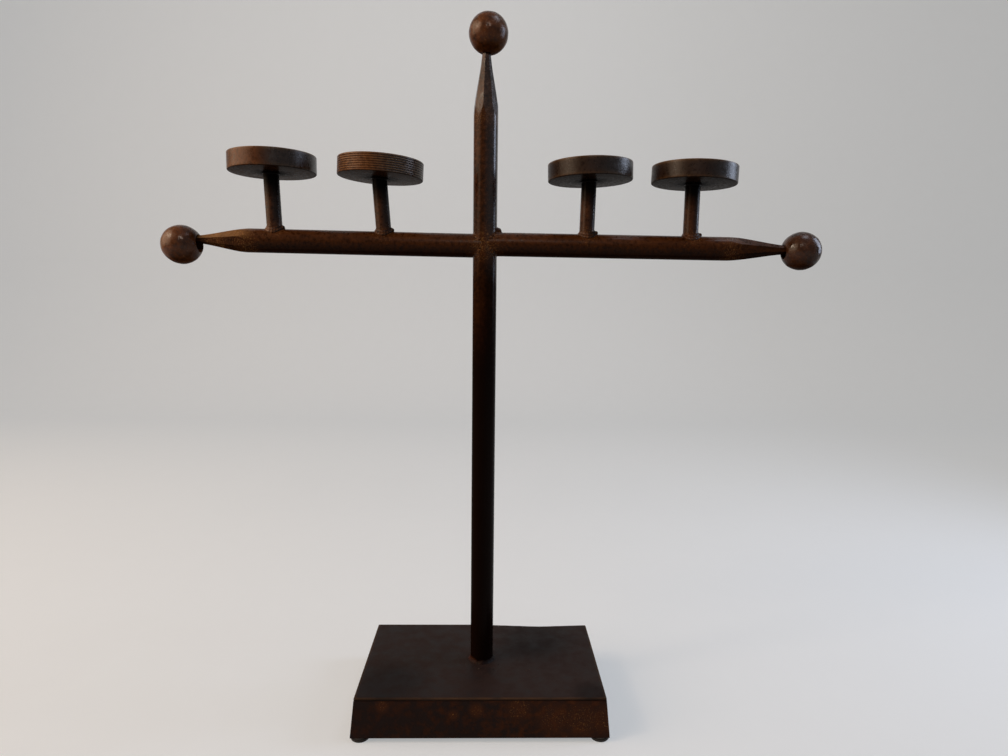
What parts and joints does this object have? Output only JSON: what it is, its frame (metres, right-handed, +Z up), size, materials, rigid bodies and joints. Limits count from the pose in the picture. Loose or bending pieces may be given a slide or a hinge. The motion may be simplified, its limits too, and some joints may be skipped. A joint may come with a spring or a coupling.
{
  "type": "pricket candle stand",
  "caption": "Cross-shaped steel candle stand: round post on a flared box base, side arms with ball finials and shallow spiked candle cups on short stems.",
  "frame": {"origin": "on the table under the post, at the centre of the base", "axes": "+X along the arms to the viewer's right, +Y to the back, +Z up the post"},
  "size_m": [0.7004, 0.1658, 0.7459],
  "materials": {
    "bar_steel": "brown rust patina under wax, satin",
    "cup_steel": "brown rust patina under wax, satin",
    "ball_steel": "brown rust patina under wax, glossy",
    "base_steel": "dark brown patina, dull",
    "weld_metal": "rough, rust specks",
    "pricket_steel": "dark, filed",
    "foot_rubber": "black, matt",
    "screw_steel": "plain zinc"
  },
  "bodies": {
    "root": {"base_top_plate": "base_steel", "base_front_panel": "base_steel", "base_right_panel": "base_steel", "base_rear_panel": "base_steel", "base_left_panel": "base_steel", "post": "bar_steel", "left_arm": "bar_steel", "right_arm": "bar_steel", "top_ball": "ball_steel", "left_ball": "ball_steel", "right_ball": "ball_steel", "post_weld": "weld_metal", "left_arm_weld": "weld_metal", "right_arm_weld": "weld_metal", "foot_screws": "screw_steel", "gusset_front_left": "base_steel", "foot_front_left": "foot_rubber", "gusset_front_right": "base_steel", "foot_front_right": "foot_rubber", "gusset_rear_left": "base_steel", "foot_rear_left": "foot_rubber", "gusset_rear_right": "base_steel", "foot_rear_right": "foot_rubber", "outer_left_stem": "bar_steel", "outer_left_cup": "cup_steel", "outer_left_pricket": "pricket_steel", "outer_left_stem_weld": "weld_metal", "outer_left_cup_weld": "weld_metal", "inner_left_stem": "bar_steel", "inner_left_cup": "cup_steel", "inner_left_pricket": "pricket_steel", "inner_left_stem_weld": "weld_metal", "inner_left_cup_weld": "weld_metal", "inner_right_stem": "bar_steel", "inner_right_cup": "cup_steel", "inner_right_pricket": "pricket_steel", "inner_right_stem_weld": "weld_metal", "inner_right_cup_weld": "weld_metal", "outer_right_stem": "bar_steel", "outer_right_cup": "cup_steel", "outer_right_pricket": "pricket_steel", "outer_right_stem_weld": "weld_metal", "outer_right_cup_weld": "weld_metal"}
  },
  "joints": []
}
